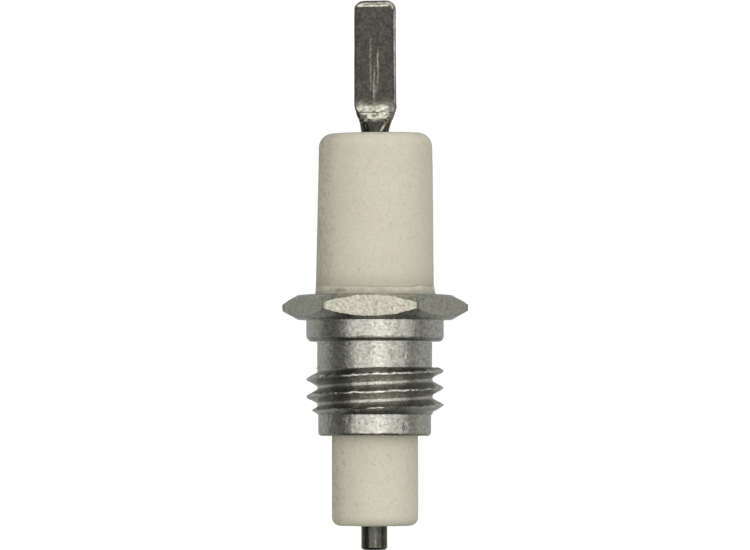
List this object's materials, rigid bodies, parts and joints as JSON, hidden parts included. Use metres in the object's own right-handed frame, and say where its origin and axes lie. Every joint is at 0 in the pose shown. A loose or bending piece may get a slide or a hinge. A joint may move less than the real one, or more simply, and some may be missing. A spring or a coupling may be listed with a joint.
{
  "type": "screw-in ignition electrode",
  "caption": "Screw-in ignition electrode: ceramic insulator cemented in a hexagon steel shell with a coarse thread, push-on tab at the top and a straight rod tip at the bottom.",
  "frame": {"origin": "on the electrode's axis, in the plane of the hexagon's underside, the face that comes down on the burner boss", "axes": "+Z along the axis towards the push-on tab, so the spark tip is at -Z; one pair of hexagon flats faces -Y and +Y, the corners of the hexagon lie on +X and -X, and the tab's faces are turned 8.8 degrees from those flats, clockwise as seen from +Z"},
  "size_m": [0.0216, 0.0186, 0.0638],
  "materials": {
    "shell_steel": "turned, thin dull nickel plating",
    "ceramic": "unglazed alumina, matte",
    "cement": "ceramic cement, chalky",
    "gasket_steel": "soft steel strip",
    "rod_alloy": "drawn and stamped heat-resistant alloy, dark"
  },
  "bodies": {
    "root": {"shell": "shell_steel", "insulator": "ceramic", "seat_gasket": "gasket_steel", "shoulder_cement": "cement", "electrode_rod": "rod_alloy", "terminal_cement": "cement"}
  },
  "joints": []
}
